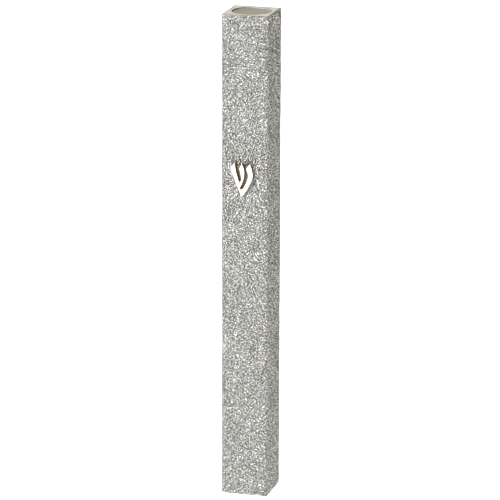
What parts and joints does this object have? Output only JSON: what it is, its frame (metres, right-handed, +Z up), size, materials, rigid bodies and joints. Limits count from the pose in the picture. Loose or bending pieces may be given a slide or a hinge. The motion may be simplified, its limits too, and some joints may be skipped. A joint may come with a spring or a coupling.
{
  "type": "mezuzah case",
  "caption": "Slim square-section mezuzah case for a doorpost: glitter-wrapped aluminium tube with silicone end plugs, raised letter Shin and rolled parchment inside.",
  "frame": {"origin": "centre of the mounting tape's outer face, half way up the case, on the plane of the doorpost", "axes": "+Z up along the case, +Y out of the back into the doorpost, the letter faces -Y, +X to the right of someone facing the letter"},
  "size_m": [0.015, 0.0172, 0.152],
  "materials": {
    "aluminium": "extruded, satin, saw-cut ends lightly chamfered",
    "glitter_film": "fine silver-grey glitter flakes in a thin plastic film",
    "silicone": "matte grey silicone",
    "polished_metal": "bright polished plating",
    "adhesive": "thin brown-grey adhesive pad",
    "parchment": "plain prepared parchment, unlettered",
    "clear_film": "thin clear plastic sleeve",
    "foam_tape": "white closed-cell double-sided foam tape"
  },
  "bodies": {
    "case": {"case_tube": "aluminium", "glitter_wrap": "glitter_film", "shin_emblem": "polished_metal", "emblem_adhesive": "adhesive", "mount_tape": "foam_tape"},
    "top_plug": {"top_plug": "silicone"},
    "bottom_plug": {"bottom_plug": "silicone"},
    "scroll": {"parchment_scroll": "parchment", "scroll_sleeve": "clear_film"}
  },
  "joints": [
    {"name": "top_plug_pull", "type": "slide", "parent": "case", "child": "top_plug", "axis": [0, 0, 1], "range_m": [0, 0.02]},
    {"name": "bottom_plug_pull", "type": "slide", "parent": "case", "child": "bottom_plug", "axis": [0, 0, -1], "range_m": [0, 0.1365]},
    {"name": "scroll_float", "type": "slide", "parent": "bottom_plug", "child": "scroll", "axis": [0, 0, 1], "range_m": [0, 0.009]}
  ]
}
